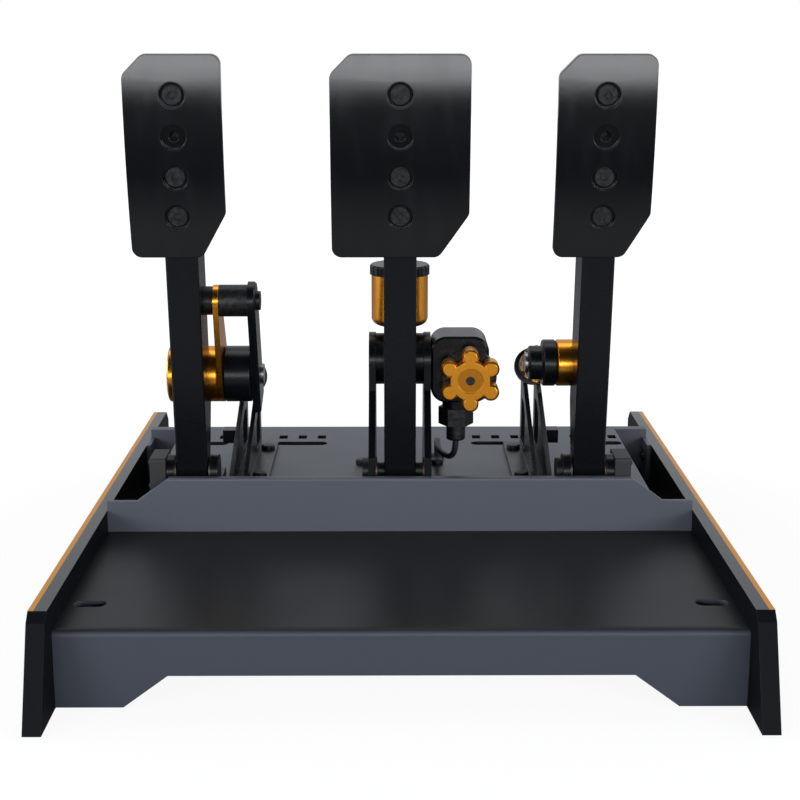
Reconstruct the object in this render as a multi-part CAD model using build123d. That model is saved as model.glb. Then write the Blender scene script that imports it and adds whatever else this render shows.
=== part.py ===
from build123d import *
import math
import os

# Sim racing pedal set: a folded steel base that carries three hanging-plate pedals.
# All sizes are in millimetres. X points to the driver's right, Y away from the
# driver and Z up. The origin lies on the floor, under the middle of the base.

# Base outline
overall_depth = 445.0
side_channel = 23.0
deck_margin = 30.0
clutch_room = 56.4
throttle_room = 22.5
side_plate_thickness = 10.0
side_plate_top = 60.0
side_front_rake = 20.0
side_front_chamfer = 5.0
side_rear_chamfer = 8.0
trim_width = 3.0
trim_height = 3.5
foot_height = 1.5
foot_width = 8.0
foot_length = 36.0
foot_inset = 14.0

# Folded sheet of the base
sheet = 3.0
bend_radius = 4.0
tray_top = 46.0
tray_front = -190.0
tray_rear = -20.0
tray_flange_height = 18.0
tray_flange_gap = 6.0
lip_bottom = 2.0
arch_side_top = 60.5
arch_side_bottom = 35.0
arch_height = 18.0
tray_slot_inset = 13.0
tray_slot_y = -153.0
tray_slot_length = 18.0
slot_width = 9.0

# Cover plate in front of the pedal feet
riser_front = -33.0
riser_top = 81.0
riser_top_inset = 39.0
riser_shoulder_inset = 19.0
riser_shoulder = 66.0
riser_lip_depth = 5.0

# Raised deck that carries the pedals
deck_top = 66.0
deck_fold_bottom = 10.0
deck_fold_gap = 10.0
deck_rear_fold = 26.0
deck_group_inset = 20.0
deck_group_spacing = 71.5
deck_slot_y = 101.0
deck_slot_length = 37.5
deck_window_y = 118.0
deck_window_pitch = 14.0
deck_window_width = 6.0
deck_window_length = 9.0
crossmember_y = 139.0
crossmember_bottom = 12.0
crossmember_return = 8.0
crossmember_flange = 22.0

# Screws of the frame
frame_screw_radius = 2.5
frame_screw_head = 5.0
frame_screw_head_depth = 2.5
frame_screw_end_gap = 2.0
tray_screw_shares = (0.2, 0.75)
crossmember_screw_shares = (0.25, 0.75)
button_screw_radius = 2.5
button_head_radius = 4.75
button_head_height = 2.75

# Electronics box behind the cross member
control_half = 42.0
control_depth = 30.0
control_bottom = 14.0
control_top = 54.0
control_wall = 2.5
control_socket_width = 11.0
control_socket_height = 8.5
control_socket_depth = 12.0
control_socket_pitch = 17.0
control_inlet_width = 9.0
control_inlet_height = 3.4
control_inlet_depth = 7.0

# Pedal arms: the pivot line, the lean towards the driver and the bar
brake_x = 0.0
pivot_y = -15.0
pivot_z = 81.0
arm_lean = 7.0
arm_width = 20.0
arm_front = 8.0
arm_foot_drop = 8.0
arm_slim_back = 8.0
arm_deep_back = 24.0
arm_top_back = 11.0
arm_deep_heights = (4.0, 40.0, 215.0)
arm_length = 257.0
arm_edge = 1.5
arm_toe_round = 3.0
brake_travel = 8.0
axle_radius = 5.0
axle_head_radius = 8.0
axle_head_height = 4.0
bush_wall = 2.0
bush_flange = 1.0
bush_flange_wall = 1.8
bush_side_gap = 0.3
running_gap = 0.05

# Pedal plates: heights are measured up the arm from the pivot
plate_bottom = 144.5
plate_top = 265.0
plate_thickness = 4.0
plate_crown = 4.0
plate_seat = 4.5
plate_corner_cut = 11.5
plate_corner_round = 6.0
small_plate_width = 57.0
brake_plate_width = 82.0
small_plate_foot_cut = 15.0
brake_plate_foot_cut = 18.0
plate_foot_rise = 27.0
plate_hole_low = 170.0
plate_hole_pitch = 24.0
plate_hole_count = 4
plate_screw_rows = (0, 1, 3)
plate_screw_radius = 3.0
plate_sink_radius = 7.5
plate_sink_depth = 2.6
plate_screw_head = 5.6
plate_screw_head_height = 1.7
plate_screw_length = 16.0
plate_screw_socket = 2.6
plate_screw_socket_depth = 1.2

# Pivot brackets of the clutch and the throttle
ear_thickness = 5.0
ear_radius = 10.5
bracket_front = -27.0
bracket_rear = 22.0
sensor_depth = 10.0
sensor_height = 22.0
sensor_length = 24.0
sensor_corner_radius = 1.6
sensor_corner_height = 1.0
sensor_corner_inset = 3.5

# Cross barrel behind the arm, and the pin in it
barrel_y = 5.0
clutch_barrel_z = 140.0
clutch_barrel_radius = 18.0
throttle_barrel_z = 147.0
throttle_barrel_radius = 15.0
barrel_edge = 0.8
clutch_barrel_outboard = 16.0
clutch_barrel_inboard = 16.0
throttle_barrel_outboard = 13.0
pin_radius = 4.0
pin_end = 2.0
pin_head_radius = 6.5

# Spring strut, inboard of the arm: distances run from its rear pin to its front pin
strut_offset = 27.5
strut_rear_y = 85.0
strut_drop = 21.0
open_pivot_gap = 0.9
head_width = 17.2
throttle_head_step = 8.6
throttle_head_neck = 11.0
head_edge = 0.8
head_side_gap = 0.4
rod_radius = 4.0
rod_tail = 30.0
rear_eye_radius = 9.0
rear_eye_width = 5.6
neck_radius = 5.5
neck_start = 9.6
seat_start = 13.0
seat_end = 18.0
seat_radius = 13.0
guide_radius = 7.0
guide_end = 40.0
bore_start = 11.5
collar_start = 55.0
collar_length = 8.0
collar_radius = 12.5
collar_recess = 6.5
collar_recess_radius = 7.8
collar_notch_radius = 1.6
collar_notch_count = 12
spring_wire = 2.5
spring_mean_radius = 9.6
spring_turns = 5
spring_end_turn_share = 0.25
spring_step_share = 0.25

# Bracket of the strut's rear pin
cheek_sheet = 3.0
cheek_gap = 0.3
strut_boss_radius = 9.0
boss_join_shares = (0.7, 0.9)
bracket_toe_y = -8.0
bracket_toe_height = 8.0
bracket_heel_y = 95.0
window_rim = 9.0
window_front = 58.0
window_peak = 70.0
bracket_side_foot = 12.0
bracket_foot_screw_ys = (12.0, 78.0)
spacer_y = 45.0
spacer_length = 10.0
spacer_bottom = 82.0
spacer_height = 9.0
spacer_reach = 9.5
strut_pin_head = 2.0

# Side links of the clutch
link_thickness = 3.5
yoke_depth = 12.0
yoke_height = 110.0
yoke_eye_radius = 10.0
yoke_spacer_radius = 9.0
cross_tube_radius = 10.0
cross_tube_bolt_radius = 4.0
cross_tube_head_radius = 6.0
cross_tube_head_height = 2.5
outer_link_thickness = 5.0
outer_link_top_radius = 12.0
outer_link_rear_half = 10.5
outer_link_front_half = 15.0
outer_link_drop = 22.0
outer_link_round = 3.0
outer_link_edge = 1.0

# Brake cheeks and cylinder
brake_cheek_inner = 15.5
brake_cheek_thickness = 4.5
brake_cheek_toe_y = -27.0
brake_cheek_heel_y = 48.0
brake_cheek_foot = 10.0
brake_cheek_toe_height = 26.0
cylinder_y = 18.0
cylinder_z = 147.0
cylinder_radius = 16.7
cheek_ring = 0.8
plunger_radius = 6.0
plunger_length = 24.0
plunger_bore_spare = 3.0
plunger_gap = 0.3
strike_pad_thickness = 3.0
strike_pad_half = 8.0
brake_neck_radius = 8.0
reservoir_bottom = 170.0
reservoir_top = 203.0
reservoir_radius = 18.3
reservoir_round = 5.0
cap_height = 6.5
cap_radius = 19.3
cap_notch_radius = 1.2
cap_notch_count = 24
cap_chamfer = 1.0

# Side housing of the brake and its star knob
housing_width = 37.5
housing_bottom = 121.0
housing_top = 164.5
housing_front = 2.0
housing_rear = 36.0
housing_round = 10.0
housing_edge = 1.5
knob_x = 44.5
knob_z = 140.0
knob_boss_radius = 17.5
knob_boss_length = 7.0
knob_gap = 1.5
knob_length = 12.0
knob_core_radius = 12.5
knob_lobe_radius = 5.3
knob_lobe_centre = 15.0
knob_lobes = 6
knob_edge = 1.2
knob_socket_radius = 2.6
knob_socket_depth = 4.0
knob_dish_radius = 8.0
knob_dish_depth = 1.0
spindle_radius = 4.0
spindle_depth = 12.0

# Pressure sensor gland below the side housing, and its lead
gland_x = 37.0
gland_y = 17.0
gland_boss_radius = 9.0
gland_boss_height = 6.0
gland_nut_height = 11.5
gland_nut_across = 23.0
gland_body_radius = 6.2
gland_body_height = 11.0
gland_body_round = 1.5
lead_diameter = 4.0
lead_drop = 13.5
lead_side = 11.0
lead_turn_y = 33.0
lead_end_y = 62.0
lead_rise = 5.0
lead_arc_share = 0.45
grommet_radius = 5.0
grommet_height = 2.5
grommet_neck = 3.5
grommet_tail = 0.5
cut_overrun = 1.0

# Places that follow from the sizes above
cheek_outer = rear_eye_width / 2 + cheek_gap + cheek_sheet
brake_ear_outer = brake_cheek_inner + brake_cheek_thickness
housing_right = brake_ear_outer + housing_width
brake_foot_edge = brake_ear_outer + brake_cheek_foot
bracket_edge = strut_offset + cheek_outer + bracket_side_foot
clutch_x = -brake_foot_edge - clutch_room - bracket_edge
throttle_x = housing_right + throttle_room + collar_radius + strut_offset
deck_half = deck_margin - clutch_x
inner_half = deck_half + side_channel
half_width = inner_half + side_plate_thickness
half_depth = overall_depth / 2
arch_half_top = inner_half - arch_side_top
arch_half_bottom = inner_half - arch_side_bottom
tray_slot_x = inner_half - tray_slot_inset
riser_top_half = inner_half - riser_top_inset
riser_shoulder_half = inner_half - riser_shoulder_inset
deck_group_outer_x = deck_half - deck_group_inset
deck_group_inner_x = deck_group_outer_x - deck_group_spacing
side_top_front = -half_depth + side_front_rake + side_front_chamfer
side_top_rear = half_depth - side_rear_chamfer
riser_back = riser_front + sheet
deck_under = deck_top - sheet
lean_angle = math.radians(arm_lean)
ear_inner = arm_width / 2 + bush_flange + bush_side_gap
ear_outer = ear_inner + ear_thickness
bush_radius = axle_radius + running_gap + bush_wall
plate_middle = (plate_bottom + plate_top) / 2
plate_half_length = (plate_top - plate_bottom) / 2
crown_radius = (plate_half_length**2 + plate_crown**2) / (2 * plate_crown)
plate_face = -arm_front - plate_seat - plate_thickness
pedal_place = Pos(0, pivot_y, pivot_z) * Rot(arm_lean, 0, 0)
head_start = clutch_barrel_inboard + link_thickness + head_side_gap
outer_link_start = head_start + head_width + head_side_gap
strut_length = math.hypot(strut_rear_y - barrel_y, strut_drop)
strut_tilt = math.degrees(math.atan2(strut_rear_y - barrel_y, strut_drop))
knob_face = housing_front - knob_boss_length
gland_seat_z = housing_bottom - gland_boss_height
lead_x = gland_x - lead_side


def in_arm_frame(y, z):
    """Turn a place beside the pivot into depth and height along the leaning arm."""
    dy = y - pivot_y
    dz = z - pivot_z
    depth = dy * math.cos(lean_angle) + dz * math.sin(lean_angle)
    height = dz * math.cos(lean_angle) - dy * math.sin(lean_angle)
    return depth, height


def block(x0, x1, y0, y1, z0, z1):
    middle = Pos((x0 + x1) / 2, (y0 + y1) / 2, (z0 + z1) / 2)
    return middle * Box(abs(x1 - x0), abs(y1 - y0), abs(z1 - z0))


def rod_x(radius, x0, x1, y, z):
    return Pos((x0 + x1) / 2, y, z) * Rot(0, 90, 0) * Cylinder(radius, abs(x1 - x0))


def rod_y(radius, y0, y1, x, z):
    return Pos(x, (y0 + y1) / 2, z) * Rot(90, 0, 0) * Cylinder(radius, abs(y1 - y0))


def rod_z(radius, z0, z1, x=0, y=0):
    return Pos(x, y, (z0 + z1) / 2) * Cylinder(radius, abs(z1 - z0))


def profile_yz(points, x0, x1):
    outline = Polyline(*[(x0, y, z) for y, z in points], close=True)
    return extrude(make_face(outline), amount=x1 - x0, dir=(1, 0, 0))


def profile_xz(points, y0, y1):
    outline = Polyline(*[(x, y0, z) for x, z in points], close=True)
    return extrude(make_face(outline), amount=y1 - y0, dir=(0, 1, 0))


def link_yz(first, first_radius, second, second_radius, x0, x1):
    """A flat link with two round ends joined by their outer tangents."""
    along = (second[0] - first[0], second[1] - first[1])
    reach = math.hypot(*along)
    u = (along[0] / reach, along[1] / reach)
    lean = (first_radius - second_radius) / reach
    side = math.sqrt(1 - lean**2)
    corners = []
    for centre, radius, turn in (
        (first, first_radius, 1),
        (second, second_radius, 1),
        (second, second_radius, -1),
        (first, first_radius, -1),
    ):
        y = centre[0] + radius * (lean * u[0] - turn * side * u[1])
        z = centre[1] + radius * (lean * u[1] + turn * side * u[0])
        corners.append((y, z))
    link = profile_yz(corners, x0, x1)
    link += rod_x(first_radius, x0, x1, *first)
    link += rod_x(second_radius, x0, x1, *second)
    return link


def slot_z(x, y, length, width, z0, z1):
    """A round-ended slot along X, cut down through a sheet."""
    reach = (length - width) / 2
    slot = block(x - reach, x + reach, y - width / 2, y + width / 2, z0, z1)
    slot += rod_z(width / 2, z0, z1, x - reach, y)
    slot += rod_z(width / 2, z0, z1, x + reach, y)
    return slot


def side_screw_places():
    """Where the frame screws go through a side plate: depth and height."""
    tray_z = tray_top - sheet - tray_flange_height / 2
    places = []
    for share in tray_screw_shares:
        places.append((tray_front + share * (tray_rear - tray_front), tray_z))
    middle = crossmember_y - crossmember_flange / 2
    for share in crossmember_screw_shares:
        z = crossmember_bottom + share * (side_plate_top - crossmember_bottom)
        places.append((middle, z))
    return places


def frame_screw(side, y, z):
    """A countersunk screw whose head lies flush in the side plate's outer face."""
    outer = side * half_width
    head_end = outer - side * frame_screw_head_depth
    tip = side * (inner_half - sheet - frame_screw_end_gap)
    turn = Rot(0, side * 90, 0)
    head_middle = Pos((outer + head_end) / 2, y, z)
    head = head_middle * turn * Cone(frame_screw_radius, frame_screw_head, frame_screw_head_depth)
    return head + rod_x(frame_screw_radius, head_end, tip, y, z)


def side_plate(side):
    """Laser-cut side plate with a raked front and a rebate for the trim strip."""
    outer = side * half_width
    points = [
        (-half_depth, foot_height),
        (-half_depth + side_front_rake, side_plate_top - side_front_chamfer),
        (side_top_front, side_plate_top),
        (side_top_rear, side_plate_top),
        (half_depth, side_plate_top - side_rear_chamfer),
        (half_depth, foot_height),
    ]
    low_x = min(side * inner_half, outer)
    plate = profile_yz(points, low_x, low_x + side_plate_thickness)
    plate -= trim_strip(side)
    for y, z in side_screw_places():
        plate -= frame_screw(side, y, z)
    return plate


def trim_strip(side):
    outer = side * half_width
    inner = outer - side * trim_width
    bottom = side_plate_top - trim_height
    return block(inner, outer, side_top_front, side_top_rear, bottom, side_plate_top)


def rubber_feet():
    feet = []
    for side in (-1, 1):
        x = side * (half_width - side_plate_thickness / 2)
        for end in (-1, 1):
            y = end * (half_depth - foot_inset - foot_length / 2)
            half_x = foot_width / 2
            half_y = foot_length / 2
            feet.append(block(x - half_x, x + half_x, y - half_y, y + half_y, 0, foot_height))
    return feet


def heel_tray():
    """Folded heel plate: flat top, front lip with an arched cut-out, side flanges."""
    under = tray_top - sheet
    tray = block(-inner_half, inner_half, tray_front, tray_rear, under, tray_top)
    lip = block(-inner_half, inner_half, tray_front, tray_front + sheet, lip_bottom, tray_top)
    tray += lip
    front_edges = tray.edges().filter_by(Axis.X).group_by(Axis.Y)[0]
    tray = fillet(front_edges.sort_by(Axis.Z)[-1], bend_radius)
    arch_top = lip_bottom + arch_height
    low = lip_bottom - cut_overrun
    arch = [
        (-arch_half_bottom, low),
        (-arch_half_top, arch_top),
        (arch_half_top, arch_top),
        (arch_half_bottom, low),
    ]
    tray -= profile_xz(arch, tray_front - cut_overrun, tray_front + sheet + cut_overrun)
    flange_front = tray_front + sheet + tray_flange_gap
    flange_rear = tray_rear - tray_flange_gap
    flange_bottom = under - tray_flange_height
    for side in (-1, 1):
        inner = side * (inner_half - sheet)
        tray += block(inner, side * inner_half, flange_front, flange_rear, flange_bottom, under)
        tray -= slot_z(
            side * tray_slot_x,
            tray_slot_y,
            tray_slot_length,
            slot_width,
            under - cut_overrun,
            tray_top + cut_overrun,
        )
        for y, z in side_screw_places():
            tray -= rod_x(frame_screw_radius, inner - side * cut_overrun, side * half_width, y, z)
    return tray


def front_riser():
    """Cover plate with chamfered shoulders and a short return along its top."""
    outline = [
        (-inner_half, tray_top),
        (inner_half, tray_top),
        (inner_half, riser_shoulder),
        (riser_shoulder_half, riser_shoulder),
        (riser_top_half, riser_top),
        (-riser_top_half, riser_top),
        (-riser_shoulder_half, riser_shoulder),
        (-inner_half, riser_shoulder),
    ]
    riser = profile_xz(outline, riser_front, riser_back)
    lip_rear = riser_front + riser_lip_depth
    lip = block(-riser_top_half, riser_top_half, riser_front, lip_rear, riser_top - sheet, riser_top)
    riser += lip
    top_edges = riser.edges().filter_by(Axis.X).group_by(Axis.Y)[0]
    return fillet(top_edges.sort_by(Axis.Z)[-1], sheet / 2)


def deck_group_places():
    inner = deck_group_inner_x
    outer = deck_group_outer_x
    return (-outer, -inner, inner, outer)


def pedal_deck():
    """Top-hat deck: flat top with folded sides, a front fold and a rear fold."""
    front = riser_back
    rear = crossmember_y
    fold_front = tray_rear + deck_fold_gap
    deck = block(-deck_half, deck_half, front, rear, deck_under, deck_top)
    half_fold = deck_half - sheet
    deck += block(-deck_half, deck_half, front, front + sheet, tray_top, deck_top)
    deck += block(-half_fold, half_fold, rear - sheet, rear, deck_top - deck_rear_fold, deck_top)
    for side in (-1, 1):
        fold = block(
            side * half_fold,
            side * deck_half,
            fold_front,
            rear - deck_fold_gap,
            deck_fold_bottom,
            deck_top,
        )
        deck += fold
    long_edges = deck.edges().filter_by(Axis.Y).group_by(Axis.Z)[-1]
    deck = fillet(long_edges, sheet / 2)
    cut_low = deck_under - cut_overrun
    cut_high = deck_top + cut_overrun
    for x in deck_group_places():
        deck -= slot_z(x, deck_slot_y, deck_slot_length, slot_width, cut_low, cut_high)
        for step in (-1, 0, 1):
            middle = x + step * deck_window_pitch
            half_x = deck_window_width / 2
            half_y = deck_window_length / 2
            deck -= block(
                middle - half_x,
                middle + half_x,
                deck_window_y - half_y,
                deck_window_y + half_y,
                cut_low,
                cut_high,
            )
    for x, y in deck_screw_places():
        deck -= rod_z(button_screw_radius, cut_low, cut_high, x, y)
    return deck - rod_z(grommet_neck, cut_low, cut_high, lead_x, lead_end_y)


def rear_crossmember():
    """Panel between the side plates, with end flanges and a return along its top."""
    y = crossmember_y
    panel = block(-inner_half, inner_half, y, y + sheet, crossmember_bottom, deck_top)
    return_rear = y + crossmember_return
    panel += block(-inner_half, inner_half, y, return_rear, deck_under, deck_top)
    for side in (-1, 1):
        inner = side * (inner_half - sheet)
        flange = block(
            inner,
            side * inner_half,
            y - crossmember_flange,
            y,
            crossmember_bottom,
            side_plate_top,
        )
        panel += flange
        for screw_y, screw_z in side_screw_places():
            reach = inner - side * cut_overrun
            panel -= rod_x(frame_screw_radius, reach, side * half_width, screw_y, screw_z)
    return panel


def frame_screws():
    screws = []
    for side in (-1, 1):
        for y, z in side_screw_places():
            screws.append(frame_screw(side, y, z))
    return screws


def deck_screw_places():
    """Screws that hold the brackets and the brake cheeks to the deck."""
    places = []
    for x, side in ((clutch_x, 1), (throttle_x, -1)):
        foot = side * (cheek_outer + bracket_side_foot / 2)
        for y in bracket_foot_screw_ys:
            places.append((x + strut_offset * side + foot, y))
    foot_middle = brake_ear_outer + brake_cheek_foot / 2
    for side in (-1, 1):
        for y in brake_foot_screw_ys():
            places.append((brake_x + side * foot_middle, y))
    return places


def brake_foot_screw_ys():
    inset = button_head_radius + cut_overrun
    return (brake_cheek_toe_y + inset, brake_cheek_heel_y - inset)


def bracket_screws():
    screws = []
    foot_top = deck_top + cheek_sheet
    tip = deck_under - button_head_height
    for x, y in deck_screw_places():
        head = rod_z(button_head_radius, foot_top, foot_top + button_head_height, x, y)
        rim = head.edges().filter_by(GeomType.CIRCLE).group_by(Axis.Z)[-1]
        head = fillet(rim, button_head_height / 2)
        screws.append(head + rod_z(button_screw_radius, tip, foot_top, x, y))
    return screws


def control_box():
    """Closed electronics box with three sensor sockets and one inlet at the back."""
    front = crossmember_y + sheet
    rear = front + control_depth
    box = block(-control_half, control_half, front, rear, control_bottom, control_top)
    box = fillet(box.edges().filter_by(Axis.Y), control_wall)
    socket_z = control_bottom + (control_top - control_bottom) / 3
    inlet_z = control_top - (control_top - control_bottom) / 3
    half_z = control_socket_height / 2
    for step in (-1, 0, 1):
        x = step * control_socket_pitch
        half_x = control_socket_width / 2
        box -= block(
            x - half_x,
            x + half_x,
            rear - control_socket_depth,
            rear + cut_overrun,
            socket_z - half_z,
            socket_z + half_z,
        )
    half_inlet = control_inlet_width / 2
    half_inlet_z = control_inlet_height / 2
    box -= block(
        -half_inlet,
        half_inlet,
        rear - control_inlet_depth,
        rear + cut_overrun,
        inlet_z - half_inlet_z,
        inlet_z + half_inlet_z,
    )
    return box


def plate_arc(z, shift=0):
    """Depth of the crowned plate at a height up the arm; shift is its offset inwards."""
    radius = crown_radius - shift
    centre = plate_face + crown_radius
    return centre - math.sqrt(radius**2 - (z - plate_middle) ** 2)


def crowned_slab(low, high, front_shift, rear, half_width_x):
    """A slab whose front follows the plate's crown and whose back is flat at rear."""
    first = (-half_width_x, plate_arc(low, front_shift), low)
    middle = (-half_width_x, plate_arc(plate_middle, front_shift), plate_middle)
    last = (-half_width_x, plate_arc(high, front_shift), high)
    front = ThreePointArc(first, middle, last)
    back = Polyline(last, (-half_width_x, rear, high), (-half_width_x, rear, low), first)
    face = make_face(Curve() + front + back)
    return extrude(face, amount=2 * half_width_x, dir=(1, 0, 0))


def plate_outline(width, foot_cut):
    """Outline of a pedal plate, with a cut top left and a long cut bottom right."""
    half = width / 2
    points = [
        (-half, plate_bottom),
        (half - foot_cut, plate_bottom),
        (half, plate_bottom + plate_foot_rise),
        (half, plate_top),
        (-half + plate_corner_cut, plate_top),
        (-half, plate_top - plate_corner_cut),
    ]
    deep = plate_face - plate_thickness
    solid = profile_xz(points, deep, 0)
    return fillet(solid.edges().filter_by(Axis.Y), plate_corner_round)


def hole_heights():
    return [plate_hole_low + row * plate_hole_pitch for row in range(plate_hole_count)]


def sink(z):
    """Round counterbore of a plate hole, open towards the driver."""
    front = plate_arc(z)
    return rod_y(plate_sink_radius, plate_face - cut_overrun, front + plate_sink_depth, 0, z)


def pedal_plate(width, foot_cut):
    half = width / 2
    slab = crowned_slab(plate_bottom, plate_top, 0, 0, half)
    slab -= crowned_slab(plate_bottom, plate_top, plate_thickness, cut_overrun, half)
    plate = slab & plate_outline(width, foot_cut)
    for z in hole_heights():
        plate -= sink(z)
        plate -= rod_y(plate_screw_radius, plate_face - plate_thickness, 0, 0, z)
    return plate


def plate_screws():
    """Sunk screws in three of the four holes, with a hexagon socket."""
    screws = []
    heights = hole_heights()
    for row in plate_screw_rows:
        z = heights[row]
        floor = plate_arc(z) + plate_sink_depth
        top = floor - plate_screw_head_height
        screw = rod_y(plate_screw_head, top, floor, 0, z)
        screw += rod_y(plate_screw_radius, floor, plate_arc(z) + plate_screw_length, 0, z)
        socket = Pos(0, top, z) * Rot(90, 0, 0) * RegularPolygon(plate_screw_socket, 6)
        screw -= extrude(socket, amount=plate_screw_socket_depth, both=True)
        screws.append(screw)
    return screws


def arm_profile(deep):
    """Side view of an arm: the brake's is a plain bar, the others widen at the back."""
    if deep:
        foot_end, widen_end, narrow_start = arm_deep_heights
        back = [
            (arm_slim_back, foot_end),
            (arm_deep_back, widen_end),
            (arm_deep_back, narrow_start),
            (arm_top_back, arm_length),
        ]
    else:
        back = [(arm_slim_back, arm_length)]
    foot = [(-arm_front, -arm_foot_drop), (arm_slim_back, -arm_foot_drop)]
    return foot + back + [(-arm_front, arm_length)]


def pedal_arm(deep):
    """Bar with a square foot at the pivot and a crowned seat for the plate."""
    half = arm_width / 2
    arm = profile_yz(arm_profile(deep), -half, half)
    toes = arm.edges().filter_by(Axis.X).group_by(Axis.Z)[0]
    arm = fillet(toes, arm_toe_round)
    rims = arm.faces().sort_by(Axis.X)
    arm = fillet(rims[0].edges() + rims[-1].edges(), arm_edge)
    seat_low = plate_bottom + arm_front
    arm += crowned_slab(seat_low, arm_length, plate_thickness, -arm_front, half)
    for z in hole_heights():
        tip = plate_arc(z) + plate_screw_length
        arm -= rod_y(plate_screw_radius, plate_face, tip, 0, z)
    arm -= rod_x(axle_radius, -half, half, 0, 0)
    return arm


def notched_arm(radius, barrel_z):
    """Arm of the clutch or the throttle, with a round notch that seats the barrel."""
    half = arm_width / 2
    return pedal_arm(True) - rod_x(radius, -half, half, *in_arm_frame(barrel_y, barrel_z))


def axle(left, right):
    """Pivot axle with a round head outside each ear."""
    shaft = rod_x(axle_radius, left, right, 0, 0)
    shaft += rod_x(axle_head_radius, left - axle_head_height, left, 0, 0)
    return shaft


def bush(side, inner, outer):
    """Flanged bush in an ear; its flange faces the arm."""
    low = side * (inner - bush_flange)
    high = side * outer
    body = rod_x(bush_radius, low, high, 0, 0)
    body += rod_x(bush_radius + bush_flange_wall, low, side * inner, 0, 0)
    body -= rod_x(axle_radius + running_gap, low, high, 0, 0)
    return body


def pivot_bracket():
    """U-shaped bracket with two ears beside the arm's foot."""
    base = deck_top - pivot_z
    front = bracket_front - pivot_y
    rear = bracket_rear - pivot_y
    bracket = block(-ear_outer, ear_outer, front, rear, base, base + cheek_sheet)
    for side in (-1, 1):
        low = min(side * ear_inner, side * ear_outer)
        ear = link_yz(
            (0, 0),
            ear_radius,
            (0, base + ear_radius),
            ear_radius,
            low,
            low + ear_thickness,
        )
        ear += block(low, low + ear_thickness, front, rear, base, base + 2 * cheek_sheet)
        bracket += ear
        bracket -= rod_x(bush_radius, side * ear_inner, side * ear_outer, 0, 0)
    floor_cut = block(-ear_outer, ear_outer, 2 * front, 2 * rear, 2 * base, base)
    return bracket - floor_cut


def angle_sensor(side):
    """Sensor housing on the outer ear, with four corner screws."""
    near = side * ear_outer
    far = side * (ear_outer + sensor_depth)
    half_y = sensor_length / 2
    half_z = sensor_height / 2
    body = block(near, far, -half_y, half_y, -half_z, half_z)
    body = fillet(body.edges().filter_by(Axis.X), sensor_corner_inset / 2)
    for turn_y in (-1, 1):
        for turn_z in (-1, 1):
            y = turn_y * (half_y - sensor_corner_inset)
            z = turn_z * (half_z - sensor_corner_inset)
            tip = far + side * sensor_corner_height
            body += rod_x(sensor_corner_radius, far, tip, y, z)
    pocket_end = near + side * (axle_head_height + bush_wall)
    body -= rod_x(axle_head_radius + bush_wall, near, pocket_end, 0, 0)
    return body


def cross_barrel(side, radius, barrel_z, outboard, inboard):
    """Barrel across the back of the arm, let into the arm's round notch."""
    depth, height = in_arm_frame(barrel_y, barrel_z)
    high = side * inboard
    barrel = rod_x(radius, -side * outboard, high, depth, height)
    barrel = chamfer(barrel.edges().filter_by(GeomType.CIRCLE), barrel_edge)
    return barrel - rod_x(pin_radius, 0, high, depth, height)


def strut_pin(side, reach, barrel_z):
    """Pin that sticks out of the barrel through the strut's head, with a round cap."""
    depth, height = in_arm_frame(barrel_y, barrel_z)
    end = side * reach
    pin = rod_x(pin_radius, 0, end, depth, height)
    return pin + rod_x(pin_head_radius, end, end + side * pin_end, depth, height)


def inner_link():
    """Gold link between the barrel's end and the cross tube."""
    low = clutch_barrel_inboard
    high = low + link_thickness
    eye = in_arm_frame(barrel_y, clutch_barrel_z)
    yoke = (yoke_depth, yoke_height)
    link = link_yz(yoke, yoke_eye_radius, eye, clutch_barrel_radius, low, high)
    link -= rod_x(pin_radius, low, high, *eye)
    return link - rod_x(cross_tube_bolt_radius, low, high, *yoke)


def cross_tube():
    """Spacer beside the arm, tube between the links, and the bolt that clamps them."""
    yoke = (yoke_depth, yoke_height)
    arm_side = arm_width / 2
    outer = outer_link_start + outer_link_thickness
    tube = rod_x(yoke_spacer_radius, arm_side, clutch_barrel_inboard, *yoke)
    tube += rod_x(cross_tube_bolt_radius, arm_side, outer, *yoke)
    tube += rod_x(cross_tube_radius, clutch_barrel_inboard + link_thickness, outer_link_start, *yoke)
    return tube + rod_x(cross_tube_head_radius, outer, outer + cross_tube_head_height, *yoke)


def outer_link():
    """Black outer link, round at its top and square below the strut's front pin."""
    low = outer_link_start
    high = low + outer_link_thickness
    eye = Vector(*in_arm_frame(barrel_y, clutch_barrel_z))
    yoke = Vector(yoke_depth, yoke_height)
    down = (eye - yoke).normalized()
    rear = Vector(-down.Y, down.X)
    end = eye + down * outer_link_drop
    corners = [
        yoke + rear * outer_link_top_radius,
        yoke - rear * outer_link_top_radius,
        end - rear * outer_link_front_half,
        end + rear * outer_link_rear_half,
    ]
    link = profile_yz([(corner.X, corner.Y) for corner in corners], low, high)
    link = fillet(link.edges().filter_by(Axis.X).group_by(Axis.Z)[0], outer_link_round)
    link += rod_x(outer_link_top_radius, low, high, yoke.X, yoke.Y)
    link = chamfer(link.faces().sort_by(Axis.X)[-1].edges(), outer_link_edge)
    link -= rod_x(pin_radius, low, high, eye.X, eye.Y)
    return link - rod_x(cross_tube_bolt_radius, low, high, yoke.X, yoke.Y)


def strut_head(side, radius, neck_start, neck_radius):
    """Drum head on the front pin, stepped down away from the arm, with the strut's rod."""
    near = head_start - strut_offset
    step = near + neck_start
    far = near + head_width
    head = rod_x(radius, side * near, side * step, 0, strut_length)
    if step < far:
        head += rod_x(neck_radius, side * step, side * far, 0, strut_length)
    head = chamfer(head.edges().filter_by(GeomType.CIRCLE), head_edge)
    head += rod_z(rod_radius, rod_tail, strut_length - radius / 2)
    head -= rod_x(pin_radius + open_pivot_gap, side * near, side * far, 0, strut_length)
    return head


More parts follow.
